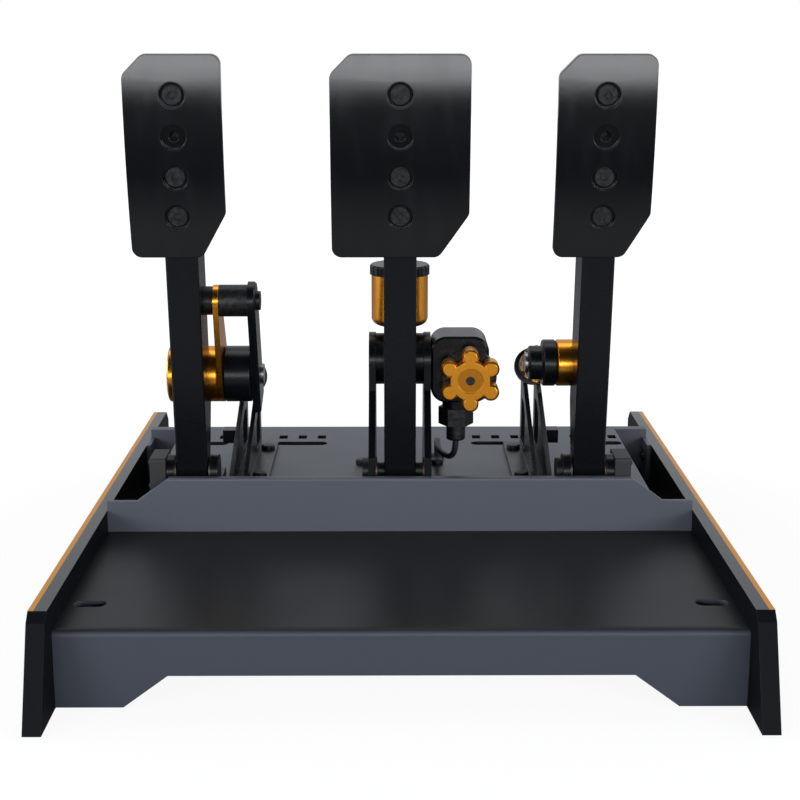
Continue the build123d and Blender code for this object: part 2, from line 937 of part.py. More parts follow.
def collar():
    """Preload collar with a notched rim, recessed to swallow the guide tube."""
    end = collar_start + collar_length
    ring = rod_z(collar_radius, collar_start, end)
    ring -= rod_z(rod_radius + running_gap, collar_start, end)
    ring -= rod_z(collar_recess_radius, collar_start, collar_start + collar_recess)
    for step in range(collar_notch_count):
        angle = 2 * math.pi * step / collar_notch_count
        x = collar_radius * math.cos(angle)
        y = collar_radius * math.sin(angle)
        ring -= rod_z(collar_notch_radius, collar_start, end, x, y)
    return ring


def strut_body():
    """Rear eye, spring seat and guide tube, bored for the rod."""
    half = rear_eye_width / 2
    body = rod_x(rear_eye_radius, -half, half, 0, 0)
    body += block(-half, half, -neck_radius, neck_radius, 0, seat_start)
    body += rod_z(neck_radius, neck_start, seat_start)
    body += rod_z(seat_radius, seat_start, seat_end)
    body += rod_z(guide_radius, seat_end, guide_end)
    body -= rod_z(rod_radius + running_gap, bore_start, guide_end)
    body -= rod_x(pin_radius + running_gap, -half, half, 0, 0)
    return body


def biarc(start, start_way, end, end_way):
    """Two arcs that leave start along start_way and reach end along end_way."""
    chord = end - start
    ways = start_way + end_way
    a = 4 - ways.dot(ways)
    b = 2 * chord.dot(ways)
    c = -chord.dot(chord)
    reach = (-b + math.sqrt(b**2 - 4 * a * c)) / (2 * a)
    first_corner = start + start_way * reach
    last_corner = end - end_way * reach
    middle = (first_corner + last_corner) / 2
    middle_way = (last_corner - first_corner).normalized()
    first = TangentArc(start, middle, tangent=start_way)
    last = TangentArc(middle, end, tangent=middle_way)
    return [first, last]


def spring_path():
    """Straight end, quarter turns of helix as pairs of arcs, and a straight end."""
    low = seat_end
    high = collar_start
    wire = spring_wire
    inner_low = low + 2 * wire
    inner_high = high - 2 * wire
    steps = round(spring_turns / spring_step_share)
    rise = (inner_high - inner_low) / spring_turns / (2 * math.pi)

    def on_helix(step):
        angle = 2 * math.pi * spring_step_share * step
        x = spring_mean_radius * math.cos(angle)
        y = spring_mean_radius * math.sin(angle)
        place = Vector(x, y, inner_low + rise * angle)
        way = Vector(-y, x, rise).normalized()
        return place, way

    lead_angle = -2 * math.pi * spring_end_turn_share
    foot_x = spring_mean_radius * math.cos(lead_angle)
    foot_y = spring_mean_radius * math.sin(lead_angle)
    foot = Vector(foot_x, foot_y, low + wire)
    up = Vector(0, 0, 1)
    edges = [Line((foot_x, foot_y, low), foot)]
    place, way = on_helix(0)
    edges += biarc(foot, up, place, way)
    for step in range(steps):
        following, following_way = on_helix(step + 1)
        edges += biarc(place, way, following, following_way)
        place, way = following, following_way
    end_angle = 2 * math.pi * (spring_turns + spring_end_turn_share)
    top_x = spring_mean_radius * math.cos(end_angle)
    top_y = spring_mean_radius * math.sin(end_angle)
    top = Vector(top_x, top_y, high - wire)
    edges += biarc(place, way, top, up)
    edges.append(Line(top, (top_x, top_y, high)))
    gap = 2 * math.pi * rise - wire
    print(f"spring: {spring_turns} turns, least gap {gap:.2f} mm")
    return Wire(edges)


def coil_spring():
    path = spring_path()
    section = Plane(origin=path @ 0, z_dir=path % 0) * Circle(spring_wire / 2)
    return sweep(section, path=path)


def strut_bracket(side, rear_z):
    """Two sloping cheeks on a common foot, with a spacer block towards the arm."""
    low = cheek_outer - cheek_sheet
    high = cheek_outer
    toe_top = deck_top + bracket_toe_height
    join_y = strut_rear_y - boss_join_shares[0] * strut_boss_radius
    join_z = rear_z - boss_join_shares[1] * strut_boss_radius
    slope = (join_z - toe_top) / (join_y - bracket_toe_y)
    outline = [
        (bracket_toe_y, deck_top),
        (bracket_toe_y, toe_top),
        (join_y, join_z),
        (strut_rear_y, rear_z),
        (strut_rear_y + strut_boss_radius, rear_z),
        (bracket_heel_y, deck_top),
    ]
    window_bottom = deck_top + cheek_sheet + window_rim / 2
    window_rear = strut_rear_y
    front_top = toe_top + slope * (window_front - bracket_toe_y) - window_rim
    peak_top = toe_top + slope * (window_peak - bracket_toe_y) - window_rim
    window = [
        (window_front, window_bottom),
        (window_front, front_top),
        (window_peak, peak_top),
        (window_rear, peak_top),
        (window_rear, window_bottom),
    ]
    bracket = block(-high, high, bracket_toe_y, bracket_heel_y, deck_top, deck_top + cheek_sheet)
    for turn in (-1, 1):
        x0 = min(turn * low, turn * high)
        cheek = profile_yz(outline, x0, x0 + cheek_sheet)
        cheek += rod_x(strut_boss_radius, x0, x0 + cheek_sheet, strut_rear_y, rear_z)
        bracket += cheek - profile_yz(window, x0, x0 + cheek_sheet)
    bracket -= rod_x(pin_radius, -high, high, strut_rear_y, rear_z)
    foot_x = side * (high + bracket_side_foot)
    foot = block(side * high, foot_x, bracket_toe_y, bracket_heel_y, deck_top, deck_top + cheek_sheet)
    middle = side * (high + bracket_side_foot / 2)
    for y in bracket_foot_screw_ys:
        foot -= rod_z(button_screw_radius, deck_top, deck_top + cheek_sheet, middle, y)
    bracket += foot
    near = -side * high
    far = near - side * spacer_reach
    spacer_rear = spacer_y + spacer_length
    spacer_top = spacer_bottom + spacer_height
    bracket += block(near, far, spacer_y, spacer_rear, spacer_bottom, spacer_top)
    return bracket


def rear_pin(rear_z):
    """Pin through the rear eye and both cheeks, with a flat head at each end."""
    pin = rod_x(pin_radius, -cheek_outer, cheek_outer, strut_rear_y, rear_z)
    for turn in (-1, 1):
        near = turn * cheek_outer
        far = turn * (cheek_outer + strut_pin_head)
        pin += rod_x(pin_head_radius, near, far, strut_rear_y, rear_z)
    return pin


def brake_cheek(side):
    """Cheek plate from the deck to the cylinder, with a foot turned outwards."""
    low = min(side * brake_cheek_inner, side * brake_ear_outer)
    high = low + brake_cheek_thickness
    ring = cylinder_radius + cheek_ring
    toe_top = deck_top + brake_cheek_toe_height
    outline = [
        (brake_cheek_toe_y, deck_top),
        (brake_cheek_toe_y, toe_top),
        (cylinder_y - ring, cylinder_z - ring),
        (cylinder_y - ring, cylinder_z),
        (cylinder_y + ring, cylinder_z),
        (brake_cheek_heel_y, deck_top),
    ]
    cheek = profile_yz(outline, low, high)
    cheek += rod_x(ring, low, high, cylinder_y, cylinder_z)
    outer = side * brake_ear_outer
    foot_x = side * brake_foot_edge
    foot = block(
        outer, foot_x, brake_cheek_toe_y, brake_cheek_heel_y, deck_top, deck_top + cheek_sheet
    )
    middle = (outer + foot_x) / 2
    for y in brake_foot_screw_ys():
        foot -= rod_z(button_screw_radius, deck_top, deck_top + cheek_sheet, middle, y)
    cheek += foot
    cheek -= rod_x(bush_radius, low, high, pivot_y, pivot_z)
    return cheek


def plunger_place():
    """Depth of the plunger's tip centre with the brake at rest, just clear of its pad."""
    stand_off = plunger_radius + plunger_gap + arm_slim_back + strike_pad_thickness
    rise = cylinder_z - pivot_z
    reach = (stand_off - rise * math.sin(lean_angle)) / math.cos(lean_angle)
    return pivot_y + reach


def brake_cylinder():
    """Cross cylinder block with a front bore for the plunger and a neck on top."""
    half = brake_cheek_inner
    body = rod_x(cylinder_radius, -half, half, cylinder_y, cylinder_z)
    body += rod_z(brake_neck_radius, cylinder_z, reservoir_bottom, 0, cylinder_y)
    bore_end = plunger_place() + plunger_length + plunger_bore_spare + brake_stroke()
    front = cylinder_y - cylinder_radius - cut_overrun
    body -= rod_y(plunger_radius + running_gap, front, bore_end, 0, cylinder_z)
    return body


def brake_stroke():
    """How far the plunger goes in when the brake pedal reaches its stop."""
    return (cylinder_z - pivot_z) * math.sin(math.radians(brake_travel))


def brake_plunger():
    """Plunger with a domed tip that the brake arm's pad pushes on."""
    tip = plunger_place()
    shaft = rod_y(plunger_radius, tip, tip + plunger_length, 0, cylinder_z)
    dome = Pos(0, tip, cylinder_z) * Sphere(plunger_radius)
    return shaft + dome


def strike_pad():
    """Pad on the back of the brake arm, facing the plunger."""
    depth, height = in_arm_frame(plunger_place(), cylinder_z)
    half = strike_pad_half
    back = arm_slim_back + strike_pad_thickness
    return block(-half, half, arm_slim_back, back, height - half, height + half)


def brake_reservoir():
    """Turned fluid reservoir with a rounded foot."""
    can = rod_z(reservoir_radius, reservoir_bottom, reservoir_top, 0, cylinder_y)
    return fillet(can.edges().filter_by(GeomType.CIRCLE).group_by(Axis.Z)[0], reservoir_round)


def reservoir_cap():
    top = reservoir_top + cap_height
    cap = rod_z(cap_radius, reservoir_top, top, 0, cylinder_y)
    cap = chamfer(cap.edges().filter_by(GeomType.CIRCLE).group_by(Axis.Z)[-1], cap_chamfer)
    for step in range(cap_notch_count):
        angle = 2 * math.pi * step / cap_notch_count
        x = cap_radius * math.cos(angle)
        y = cylinder_y + cap_radius * math.sin(angle)
        cap -= rod_z(cap_notch_radius, reservoir_top, top, x, y)
    return cap


def brake_side_housing():
    """Rounded housing on the right cheek, with a knob boss and a boss for the gland."""
    body = block(
        brake_ear_outer,
        housing_right,
        housing_front,
        housing_rear,
        housing_bottom,
        housing_top,
    )
    body = fillet(body.edges().filter_by(Axis.Y), housing_round)
    ends = body.faces().sort_by(Axis.Y)
    body = chamfer(ends[0].edges() + ends[-1].edges(), housing_edge)
    body += rod_y(knob_boss_radius, knob_face, housing_front + housing_edge, knob_x, knob_z)
    body += rod_z(gland_boss_radius, gland_seat_z, knob_z, gland_x, gland_y)
    spindle_end = knob_face + spindle_depth
    return body - rod_y(spindle_radius + running_gap, knob_face, spindle_end, knob_x, knob_z)


def brake_knob():
    """Six-lobed star knob on a spindle, dished in front, with a socket in the middle."""
    rear = knob_face - knob_gap
    front = rear - knob_length
    knob = rod_y(knob_core_radius, front, rear, knob_x, knob_z)
    for step in range(knob_lobes):
        angle = math.pi / 2 + 2 * math.pi * step / knob_lobes
        x = knob_x + knob_lobe_centre * math.cos(angle)
        z = knob_z + knob_lobe_centre * math.sin(angle)
        lobe = rod_y(knob_lobe_radius, front, rear, x, z)
        rim = lobe.edges().filter_by(GeomType.CIRCLE).group_by(Axis.Y)[0]
        knob += chamfer(rim, knob_edge)
    knob -= rod_y(knob_dish_radius, front, front + knob_dish_depth, knob_x, knob_z)
    knob -= rod_y(knob_socket_radius, front, front + knob_socket_depth, knob_x, knob_z)
    end = knob_face + spindle_depth - knob_gap
    return knob + rod_y(spindle_radius, rear, end, knob_x, knob_z)


def sensor_gland():
    """Pressure sensor: hexagon below the housing's boss and a round body."""
    nut_bottom = gland_seat_z - gland_nut_height
    hexagon = Pos(gland_x, gland_y, nut_bottom) * RegularPolygon(gland_nut_across / 2, 6)
    nut = extrude(hexagon, amount=gland_nut_height)
    body_bottom = nut_bottom - gland_body_height
    body = rod_z(gland_body_radius, body_bottom, nut_bottom, gland_x, gland_y)
    rim = body.edges().filter_by(GeomType.CIRCLE).group_by(Axis.Z)[0]
    return nut + fillet(rim, gland_body_round)


def lead_points():
    """Route of the sensor's lead, from the gland to the grommet in the deck."""
    start_z = gland_seat_z - gland_nut_height - gland_body_height
    low_z = start_z - lead_drop
    return [
        Vector(gland_x, gland_y, start_z),
        Vector(gland_x, gland_y, low_z),
        Vector(lead_x, lead_turn_y, low_z),
        Vector(lead_x, lead_end_y, low_z + lead_rise),
        Vector(lead_x, lead_end_y, deck_top + grommet_height),
    ]


def sensor_lead():
    """Short round lead held at both ends: straight runs joined by tangent arcs."""
    points = lead_points()
    radii = []
    for before, corner, after in zip(points, points[1:], points[2:]):
        run_in = corner - before
        run_out = after - corner
        turn = math.radians(run_in.get_angle(run_out))
        shorter = min(run_in.length, run_out.length)
        radii.append(lead_arc_share * shorter / math.tan(turn / 2))
    print("lead radii:", [round(radius, 2) for radius in radii])
    path = FilletPolyline(*points, radius=radii)
    section = Plane(origin=path @ 0, z_dir=path % 0) * Circle(lead_diameter / 2)
    tube = sweep(section, path=path)
    expected = math.pi * (lead_diameter / 2) ** 2 * path.length
    print(f"lead: length {path.length:.1f} mm, volume {tube.volume:.1f} of {expected:.1f} mm3")
    return tube


def lead_grommet():
    """Rubber grommet in the deck, with a flange on top."""
    flange = rod_z(grommet_radius, deck_top, deck_top + grommet_height, lead_x, lead_end_y)
    return flange + rod_z(grommet_neck, deck_under - grommet_tail, deck_top, lead_x, lead_end_y)


def at_pedal(x, shape):
    return Pos(x, 0, 0) * pedal_place * shape


def at_pivot(x, shape):
    return Pos(x, pivot_y, pivot_z) * shape


parts = {
    "left_side_plate": side_plate(-1),
    "right_side_plate": side_plate(1),
    "trim_strips": [trim_strip(-1), trim_strip(1)],
    "heel_tray": heel_tray(),
    "front_riser": front_riser(),
    "pedal_deck": pedal_deck(),
    "rear_crossmember": rear_crossmember(),
    "rubber_feet": rubber_feet(),
    "frame_screws": frame_screws(),
    "bracket_screws": bracket_screws(),
    "control_box": control_box(),
}

pivot_bushes = []
barrels = {
    "clutch": (clutch_barrel_radius, clutch_barrel_z),
    "throttle": (throttle_barrel_radius, throttle_barrel_z),
}
for name, x, side in (("clutch", clutch_x, 1), ("throttle", throttle_x, -1)):
    radius, barrel_z = barrels[name]
    rear_z = barrel_z - strut_drop
    place = Pos(x + side * strut_offset, 0, 0)
    strut_place = place * Pos(0, strut_rear_y, rear_z) * Rot(strut_tilt, 0, 0)
    parts[name + "_pivot_bracket"] = at_pivot(x, pivot_bracket())
    parts[name + "_angle_sensor"] = at_pivot(x, angle_sensor(-side))
    parts[name + "_strut_bracket"] = place * strut_bracket(side, rear_z)
    parts[name + "_strut_pin"] = place * rear_pin(rear_z)
    parts[name + "_strut_body"] = strut_place * strut_body()
    parts[name + "_spring"] = strut_place * coil_spring()
    parts[name + "_collar"] = strut_place * collar()
    parts[name + "_arm"] = at_pedal(x, notched_arm(radius, barrel_z))
    parts[name + "_plate"] = at_pedal(x, pedal_plate(small_plate_width, small_plate_foot_cut))
    parts[name + "_plate_screws"] = [at_pedal(x, screw) for screw in plate_screws()]
    parts[name + "_axle"] = at_pivot(x, axle(-ear_outer, ear_outer))
    for turn in (-1, 1):
        pivot_bushes.append(at_pivot(x, bush(turn, ear_inner, ear_outer)))
    if side > 0:
        outboard, inboard = clutch_barrel_outboard, clutch_barrel_inboard
        reach = outer_link_start + outer_link_thickness
        head = strut_head(side, radius, head_width, radius)
    else:
        outboard, inboard = throttle_barrel_outboard, head_start - head_side_gap
        reach = outer_link_start
        head = strut_head(side, radius, throttle_head_step, throttle_head_neck)
    parts[name + "_strut_head"] = strut_place * head
    parts[name + "_barrel"] = at_pedal(x, cross_barrel(side, radius, barrel_z, outboard, inboard))
    parts[name + "_pin"] = at_pedal(x, strut_pin(side, reach, barrel_z))
parts["pivot_bushes"] = pivot_bushes
parts["clutch_inner_link"] = at_pedal(clutch_x, inner_link())
parts["clutch_cross_tube"] = at_pedal(clutch_x, cross_tube())
parts["clutch_outer_link"] = at_pedal(clutch_x, outer_link())

parts["brake_arm"] = at_pedal(brake_x, pedal_arm(False) + strike_pad())
parts["brake_plate"] = at_pedal(brake_x, pedal_plate(brake_plate_width, brake_plate_foot_cut))
parts["brake_plate_screws"] = [at_pedal(brake_x, screw) for screw in plate_screws()]
parts["brake_axle"] = at_pivot(brake_x, axle(-brake_ear_outer, brake_ear_outer))
parts["brake_bushes"] = [
    at_pivot(brake_x, bush(turn, brake_cheek_inner, brake_ear_outer)) for turn in (-1, 1)
]
parts["brake_left_cheek"] = brake_cheek(-1)
parts["brake_right_cheek"] = brake_cheek(1)
parts["brake_cylinder"] = brake_cylinder()
parts["brake_plunger"] = brake_plunger()
parts["brake_reservoir"] = brake_reservoir()
parts["reservoir_cap"] = reservoir_cap()
parts["brake_side_housing"] = brake_side_housing()
parts["brake_knob"] = brake_knob()
parts["sensor_gland"] = sensor_gland()
parts["sensor_lead"] = sensor_lead()
parts["lead_grommet"] = lead_grommet()

os.makedirs("parts", exist_ok=True)
for name, shape in parts.items():
    solids = shape if isinstance(shape, list) else [shape]
    whole = Compound(children=[Compound(solid.solids()) for solid in solids])
    export_step(whole, f"parts/{name}.step")
print(len(parts), "nodes")
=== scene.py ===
import math

import bpy
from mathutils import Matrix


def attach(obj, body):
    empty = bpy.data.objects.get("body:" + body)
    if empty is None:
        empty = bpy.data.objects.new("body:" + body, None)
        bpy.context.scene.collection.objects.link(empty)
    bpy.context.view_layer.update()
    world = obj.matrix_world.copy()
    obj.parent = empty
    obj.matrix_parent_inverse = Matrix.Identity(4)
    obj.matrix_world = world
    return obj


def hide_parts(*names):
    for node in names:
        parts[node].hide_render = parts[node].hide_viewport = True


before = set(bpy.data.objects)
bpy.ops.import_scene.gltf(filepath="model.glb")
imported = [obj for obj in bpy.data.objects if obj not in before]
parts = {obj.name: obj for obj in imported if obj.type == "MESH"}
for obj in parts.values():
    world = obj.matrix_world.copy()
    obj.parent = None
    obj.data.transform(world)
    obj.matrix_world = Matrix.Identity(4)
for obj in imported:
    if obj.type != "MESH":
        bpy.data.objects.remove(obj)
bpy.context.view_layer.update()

# Studio camera. It stands at the driver's side, a little above the pedal plates,
# and looks down at the base. Its lens is long, so the side plates hardly splay.
lens_mm = 65.25
sensor_mm = 36.0
camera_place = (-0.00471, -0.9079, 0.3511)
pitch_down = math.radians(12.18)
turn_right = math.radians(0.304)
frame_drop = -0.06

camera_data = bpy.data.cameras.new("studio_camera")
camera_data.lens = lens_mm
camera_data.sensor_width = sensor_mm
camera_data.sensor_fit = "HORIZONTAL"
camera_data.shift_y = frame_drop
camera_data.clip_start = 0.01
camera = bpy.data.objects.new("studio_camera", camera_data)
camera.location = camera_place
camera.rotation_euler = (math.pi / 2 - pitch_down, 0, -turn_right)
bpy.context.scene.collection.objects.link(camera)
bpy.context.scene.camera = camera
bpy.context.scene.view_settings.view_transform = "Standard"


# Shader maths. A wire is one output in a material's tree, and sums of wires add
# Math nodes. A finish is one material with its surface shader and its wires.
class Wire:
    def __init__(self, finish, output):
        self.finish = finish
        self.output = output

    def math(self, operation, left, right):
        return self.finish.add("ShaderNodeMath", {"operation": operation}, {0: left, 1: right})

    def __add__(self, other):
        return self.math("ADD", self, other)

    def __radd__(self, other):
        return self.math("ADD", other, self)

    def __rsub__(self, other):
        return self.math("SUBTRACT", other, self)

    def __mul__(self, other):
        return self.math("MULTIPLY", self, other)

    def __rmul__(self, other):
        return self.math("MULTIPLY", other, self)


class Finish:
    def __init__(self, name, **surface):
        self.material = bpy.data.materials.new(name)
        self.material.use_nodes = True
        self.tree = self.material.node_tree
        self.tree.nodes.clear()
        self.shader = self.tree.nodes.new("ShaderNodeBsdfPrincipled")
        self.output = self.tree.nodes.new("ShaderNodeOutputMaterial")
        self.tree.links.new(self.shader.outputs[0], self.output.inputs["Surface"])
        for socket, value in surface.items():
            self.give(self.shader.inputs[socket.replace("_", " ")], value)

    def give(self, socket, value):
        if isinstance(value, Wire):
            self.tree.links.new(value.output, socket)
        elif socket.type == "RGBA" and len(value) == 3:
            socket.default_value = (*value, 1.0)
        else:
            socket.default_value = value

    def add(self, kind, settings=None, sockets=None, output=0):
        node = self.tree.nodes.new(kind)
        for name, value in (settings or {}).items():
            setattr(node, name, value)
        for name, value in (sockets or {}).items():
            self.give(node.inputs[name], value)
        return Wire(self, node.outputs[output])

    def place(self):
        return self.add("ShaderNodeTexCoord", output="Object")

    def noise(self, scale, detail=3.0, stretch=None):
        vector = self.place()
        if stretch:
            vector = self.add("ShaderNodeMapping", None, {"Vector": vector, "Scale": stretch})
        sockets = {"Vector": vector, "Scale": scale, "Detail": detail}
        return self.add("ShaderNodeTexNoise", None, sockets)

    def blend(self, share, first, second):
        sockets = {0: share, 6: first, 7: second}
        return self.add("ShaderNodeMix", {"data_type": "RGBA"}, sockets, 2)

    def ramp(self, share, low, high):
        sockets = {"Value": share, "From Min": low, "From Max": high}
        return self.add("ShaderNodeMapRange", None, sockets)

    def upward(self):
        """1 on a face that looks up, 0 on an upright one."""
        facing = self.add("ShaderNodeNewGeometry", output="Normal")
        return self.add("ShaderNodeSeparateXYZ", None, {0: facing}, "Z")

    def edge_mask(self, radius):
        """Bright where a rounded edge would catch the light."""
        rounded = self.add("ShaderNodeBevel", {"samples": 4}, {"Radius": radius})
        flat = self.add("ShaderNodeNewGeometry", output="Normal")
        sockets = {0: rounded, 1: flat}
        same = self.add("ShaderNodeVectorMath", {"operation": "DOT_PRODUCT"}, sockets, "Value")
        return self.ramp(1 - same, 0.02, 0.2)

    def surface(self, **sockets):
        for socket, value in sockets.items():
            self.give(self.shader.inputs[socket.replace("_", " ")], value)

    def relief(self, height, depth, edge=0.0004):
        """Fine relief over edges that are rounded for the light."""
        rounded = self.add("ShaderNodeBevel", {"samples": 4}, {"Radius": edge})
        sockets = {"Height": height, "Distance": depth, "Strength": 1.0, "Normal": rounded}
        self.surface(Normal=self.add("ShaderNodeBump", None, sockets))


def wear_finish(finish, *names):
    """Gives a finish to the object's own pieces."""
    for name in names:
        for place in parts[name].material_slots:
            place.material = finish.material


# Floor and backdrop. A white paper sweep lies under the set and ends in front of it
# on a dark studio floor. Seen directly it is white and keeps the set's soft shadow.
floor_half = 6.0
paper_shade = (0.60, 0.60, 0.60)
studio_shade = (0.05, 0.05, 0.05)
paper_edge_m = 0.42
studio_edge_m = 0.72
shadow_start_m = 0.3
shadow_end_m = 0.9
shadow_share = 0.20
glow_strength = 1.14

floor_mesh = bpy.data.meshes.new("studio_floor")
corners = [(-floor_half, -floor_half, 0), (floor_half, -floor_half, 0)]
corners += [(floor_half, floor_half, 0), (-floor_half, floor_half, 0)]
floor_mesh.from_pydata(corners, [], [(0, 1, 2, 3)])
floor = bpy.data.objects.new("studio_floor", floor_mesh)
bpy.context.scene.collection.objects.link(floor)
floor_finish = Finish("floor_paper", Roughness=0.9)
floor_way = floor_finish.add("ShaderNodeSeparateXYZ", None, {0: floor_finish.place()}, 1)
paper_end = floor_finish.ramp(0 - floor_way, paper_edge_m, studio_edge_m)
floor_finish.surface(Base_Color=floor_finish.blend(paper_end, paper_shade, studio_shade))
reach = floor_finish.add(
    "ShaderNodeVectorMath", {"operation": "LENGTH"}, {0: floor_finish.place()}, "Value"
)
seen = floor_finish.add("ShaderNodeLightPath", output="Is Camera Ray")
glow_sockets = {"Color": (1.0, 1.0, 1.0), "Strength": glow_strength}
glow = floor_finish.add("ShaderNodeEmission", None, glow_sockets)
paper = Wire(floor_finish, floor_finish.shader.outputs[0])
far_off = floor_finish.ramp(reach, shadow_start_m, shadow_end_m)
glow_share = 1.0 - shadow_share + shadow_share * far_off
mixed = floor_finish.add("ShaderNodeMixShader", None, {0: seen * glow_share, 1: paper, 2: glow})
floor_finish.give(floor_finish.output.inputs["Surface"], mixed)
floor_mesh.materials.append(floor_finish.material)

# World. White as a backdrop, and in reflections from behind the set; the side of
# the camera is a dark studio. Its own light on the set is weak.
backdrop_light = 0.72
studio_light = 0.012
world_fill = 0.08
backdrop_tint = (0.90, 0.95, 1.0, 1)
fill_tint = (0.95, 0.97, 1.0, 1)
world = bpy.data.worlds.new("studio_world")
bpy.context.scene.world = world
world.use_nodes = True
sky = world.node_tree.nodes
sky.clear()
wires = world.node_tree.links
rays = sky.new("ShaderNodeLightPath")
ways = sky.new("ShaderNodeTexCoord")
split = sky.new("ShaderNodeSeparateXYZ")
wires.new(ways.outputs["Generated"], split.inputs[0])
behind = sky.new("ShaderNodeMapRange")
behind.inputs["From Min"].default_value = -0.25
behind.inputs["From Max"].default_value = 0.35
behind.inputs["To Min"].default_value = studio_light
behind.inputs["To Max"].default_value = backdrop_light
wires.new(split.outputs["Y"], behind.inputs["Value"])
white = sky.new("ShaderNodeBackground")
fill = sky.new("ShaderNodeBackground")
mirrored = sky.new("ShaderNodeBackground")
white.inputs["Color"].default_value = (1, 1, 1, 1)
white.inputs["Strength"].default_value = 1.0
fill.inputs["Color"].default_value = fill_tint
fill.inputs["Strength"].default_value = world_fill
mirrored.inputs["Color"].default_value = backdrop_tint
wires.new(behind.outputs[0], mirrored.inputs["Strength"])
glossy_mix = sky.new("ShaderNodeMixShader")
sky_mix = sky.new("ShaderNodeMixShader")
sky_out = sky.new("ShaderNodeOutputWorld")
wires.new(rays.outputs["Is Glossy Ray"], glossy_mix.inputs[0])
wires.new(fill.outputs[0], glossy_mix.inputs[1])
wires.new(mirrored.outputs[0], glossy_mix.inputs[2])
wires.new(rays.outputs["Is Camera Ray"], sky_mix.inputs[0])
wires.new(glossy_mix.outputs[0], sky_mix.inputs[1])
wires.new(white.outputs[0], sky_mix.inputs[2])
wires.new(sky_mix.outputs[0], sky_out.inputs["Surface"])


# Studio lamps. Soft boxes behind the camera and left and right of it, all near its
# height, which light the upright faces and leave the tray dark, and weaker ones
# beside the set and above it.
lamp_tint = (0.95, 0.97, 1.0)


def soft_box(name, place, aim, width, height, power):
    data = bpy.data.lights.new(name, "AREA")
    data.shape = "RECTANGLE"
    data.size = width
    data.size_y = height
    data.energy = power
    data.color = lamp_tint
    lamp = bpy.data.objects.new(name, data)
    lamp.location = place
    way = [a - b for a, b in zip(aim, place)]
    flat = math.hypot(way[0], way[1])
    lamp.rotation_euler = (math.atan2(flat, -way[2]), 0, math.atan2(-way[0], way[1]))
    bpy.context.scene.collection.objects.link(lamp)


base_middle = (0, 0, 0.1)
soft_box("front_box", (0, -1.7, 0.32), base_middle, 1.3, 0.25, 9)
soft_box("front_left_box", (-1.25, -1.35, 0.49), base_middle, 0.9, 0.55, 14)
soft_box("front_right_box", (1.25, -1.35, 0.49), base_middle, 0.9, 0.55, 14)
soft_box("left_box", (-1.5, 0.1, 0.6), base_middle, 0.9, 1.0, 11)
soft_box("right_box", (1.5, 0.1, 0.6), base_middle, 0.9, 1.0, 7)
soft_box("top_box", (0, 0.5, 1.6), base_middle, 1.2, 0.6, 4)

# Side plates. 10 mm laser-cut steel with a raked front end, powder coated black. The
# faces are matt, the cut top edge is smooth, and the corners carry a patchy painted highlight.
side_shade = (0.0035, 0.0043, 0.0056)
side_edge_highlight_shade = (0.05, 0.054, 0.063)
side_coat = Finish("side_coat", Specular_IOR_Level=0.07, Coat_Roughness=0.22)
# Painted highlight: lighter colour on the edges where a rounded edge would catch the light, in
# patches.
side_edge_highlight = side_coat.edge_mask(0.0009) * side_coat.ramp(side_coat.noise(60.0), 0.3, 0.75)
side_coat.surface(
    Base_Color=side_coat.blend(side_edge_highlight * 0.7, side_shade, side_edge_highlight_shade),
    Roughness=0.46 + 0.10 * side_coat.noise(35.0),
    Coat_Weight=side_coat.ramp(side_coat.upward(), 0.8, 0.95),
)
side_coat.relief(side_coat.noise(1400.0, 2.0), 0.00003, 0.0006)
wear_finish(side_coat, "left_side_plate", "right_side_plate")

# Trim strips. Thin gold anodised aluminium let into the outer top edge of each
# side plate, drawn along its length.
gold_shade = (0.80, 0.34, 0.035)
gold_deep_shade = (0.60, 0.21, 0.012)
trim_gold = Finish("trim_gold", Metallic=1.0)
drawn_lines = trim_gold.noise(900.0, 2.0, (1.0, 0.02, 1.0))
trim_gold.surface(
    Base_Color=trim_gold.blend(drawn_lines * 0.5, gold_shade, gold_deep_shade),
    Roughness=0.26 + 0.14 * drawn_lines,
)
trim_gold.relief(drawn_lines, 0.00002, 0.0003)
wear_finish(trim_gold, "trim_strips")

# Riser and cross member. Folded 3 mm steel in a slate grey powder coat, with a patchy
# painted highlight along its edges.
slate_shade = (0.074, 0.083, 0.106)
slate_edge_highlight_shade = (0.15, 0.16, 0.19)
slate_coat = Finish("slate_coat", Specular_IOR_Level=0.5)
# Painted highlight: lighter colour on the edges, in patches.
slate_edge_highlight = slate_coat.edge_mask(0.0008) * slate_coat.ramp(slate_coat.noise(50.0), 0.3, 0.75)
slate_coat.surface(
    Base_Color=slate_coat.blend(slate_edge_highlight * 0.6, slate_shade, slate_edge_highlight_shade),
    Roughness=0.36 + 0.08 * slate_coat.noise(30.0),
)
slate_coat.relief(slate_coat.noise(1400.0, 2.0), 0.00003, 0.0006)
wear_finish(slate_coat, "front_riser", "rear_crossmember")

# Deck. The same sheet and coat on its top, while the walls of its windows and slots are
# darkened with painted shade.
# Painted shade: the walls of the windows and slots are darkened, as if in shadow.
deck_slot_painted_shade = (0.006, 0.007, 0.009)
deck_coat = Finish("deck_coat", Specular_IOR_Level=0.5)
deck_top = deck_coat.ramp(deck_coat.upward(), 0.5, 0.9)
deck_coat.surface(
    Base_Color=deck_coat.blend(deck_top, deck_slot_painted_shade, slate_shade),
    Roughness=0.36 + 0.08 * deck_coat.noise(30.0),
)
deck_coat.relief(deck_coat.noise(1400.0, 2.0), 0.00003, 0.0002)
wear_finish(deck_coat, "pedal_deck")
